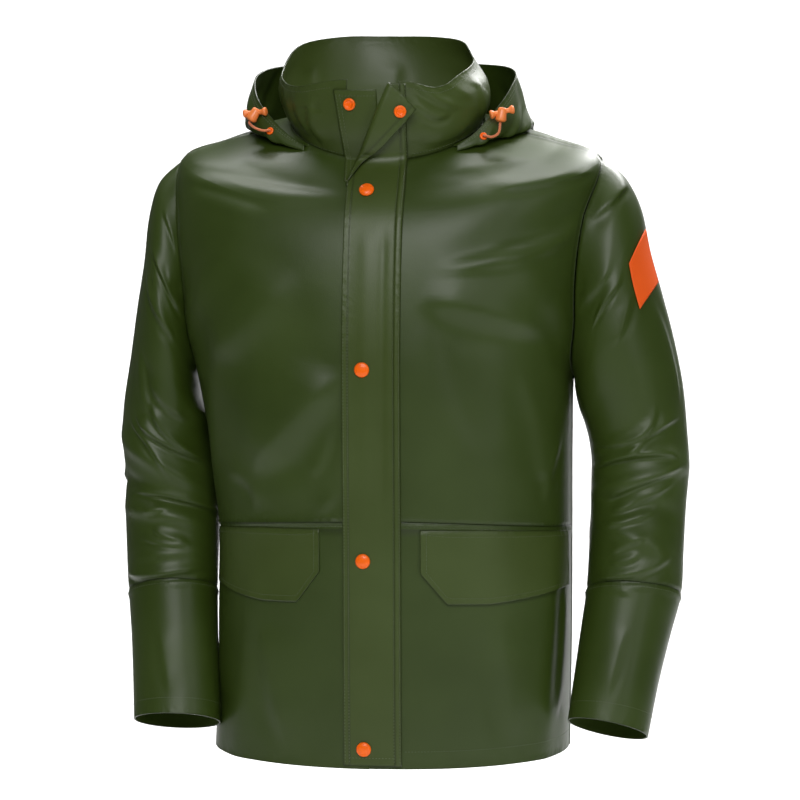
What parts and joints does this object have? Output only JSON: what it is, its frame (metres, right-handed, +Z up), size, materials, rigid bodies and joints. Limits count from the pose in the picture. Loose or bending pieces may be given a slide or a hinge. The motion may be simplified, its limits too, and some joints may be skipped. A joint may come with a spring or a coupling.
{
  "type": "raincoat",
  "caption": "Hooded rain jacket with a stand collar, snap-down storm placket and pocket flaps, filled out as if worn, with nothing inside.",
  "frame": {"origin": "middle of the neck opening at the height where the coat rests on the wearer's shoulders", "axes": "+Z up, -Y out of the coat's front, +X towards the wearer's left"},
  "size_m": [0.6568, 0.3563, 0.8232],
  "materials": {
    "shell_fabric": "olive coated fabric with a satin sheen",
    "snap_plastic": "bright orange, smooth",
    "cord": "round braided cord, pale orange",
    "badge_fabric": "matt orange red, with no print"
  },
  "bodies": {
    "root": {"front_lower_right": "shell_fabric", "front_lower_left": "shell_fabric", "front_upper_right": "shell_fabric", "front_upper_left": "shell_fabric", "back": "shell_fabric", "sleeve_upper_right": "shell_fabric", "sleeve_upper_left": "shell_fabric", "sleeve_lower_right": "shell_fabric", "sleeve_lower_left": "shell_fabric", "collar": "shell_fabric", "hood_side_left": "shell_fabric", "hood_centre": "shell_fabric", "hood_side_right": "shell_fabric", "storm_placket": "shell_fabric", "neck_tab": "shell_fabric", "pocket_flap_right": "shell_fabric", "pocket_flap_left": "shell_fabric", "snap_cap_1": "snap_plastic", "snap_cap_2": "snap_plastic", "snap_cap_3": "snap_plastic", "snap_cap_4": "snap_plastic", "snap_ring_tab": "snap_plastic", "snap_ring_corner": "snap_plastic", "eyelet_right": "snap_plastic", "eyelet_left": "snap_plastic", "cord_lock_right": "snap_plastic", "cord_lock_left": "snap_plastic", "hood_cord_right": "cord", "hood_cord_left": "cord", "sleeve_badge": "badge_fabric"}
  },
  "joints": []
}
